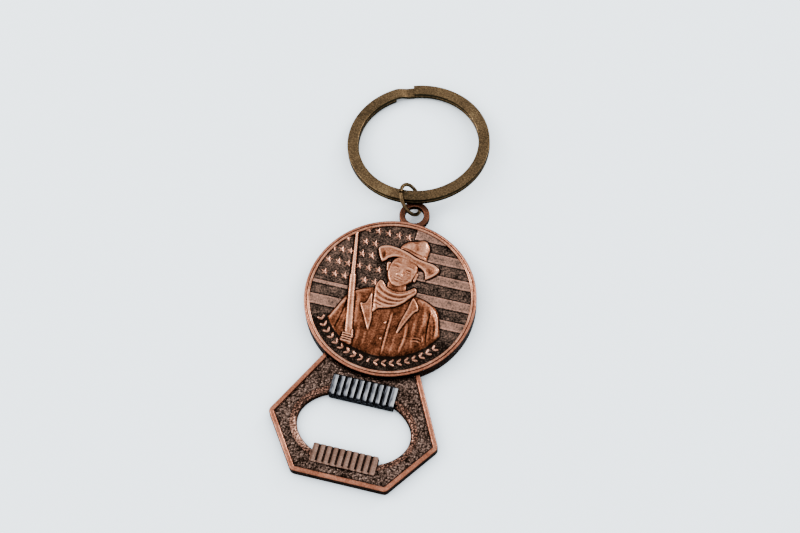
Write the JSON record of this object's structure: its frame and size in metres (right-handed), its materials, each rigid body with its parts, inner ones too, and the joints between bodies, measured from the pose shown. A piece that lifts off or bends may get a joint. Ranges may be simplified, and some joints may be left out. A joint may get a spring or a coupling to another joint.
{
  "type": "keychain bottle opener",
  "caption": "Flat pocket bottle opener with a round relief medallion, a six-sided plate with a ribbed mouth, and a split key ring on a small link.",
  "frame": {"origin": "on the flat back face, under the centre of the medallion", "axes": "+Z out of the medallion's face, +Y along the body towards the key ring, +X across the mouth"},
  "size_m": [0.0392, 0.1, 0.0066],
  "materials": {
    "antique_copper_casting": "zinc die casting with antique copper plate, dark patina in the stippled field, polished rims",
    "antique_copper_relief": "struck relief with antique copper plate, dark patina in the recesses",
    "lifter_steel": "bright ribs with blackened grooves",
    "adhesive_film": "clear bonding film, hidden",
    "antique_bronze_wire": "steel wire with antique bronze plate",
    "antique_bronze_strip": "spring steel strip with antique bronze plate"
  },
  "bodies": {
    "opener": {"opener_body": "antique_copper_casting", "cap_lifter": "lifter_steel", "medallion": "antique_copper_relief", "medallion_adhesive": "adhesive_film"},
    "jump_link": {"jump_ring": "antique_bronze_wire"},
    "key_ring": {"split_ring": "antique_bronze_strip"}
  },
  "joints": [
    {"name": "jump_ring_swing", "type": "hinge", "parent": "opener", "child": "jump_link", "pos_m": [0, 0.0215, 0.00222], "axis": [0, 0, 1], "range_deg": [-55, 20]},
    {"name": "split_ring_drop", "type": "hinge", "parent": "jump_link", "child": "key_ring", "pos_m": [-0.0017, 0.0256, 0.0034], "axis": [0.9563, 0.2924, 0], "range_deg": [-100, 0]}
  ]
}
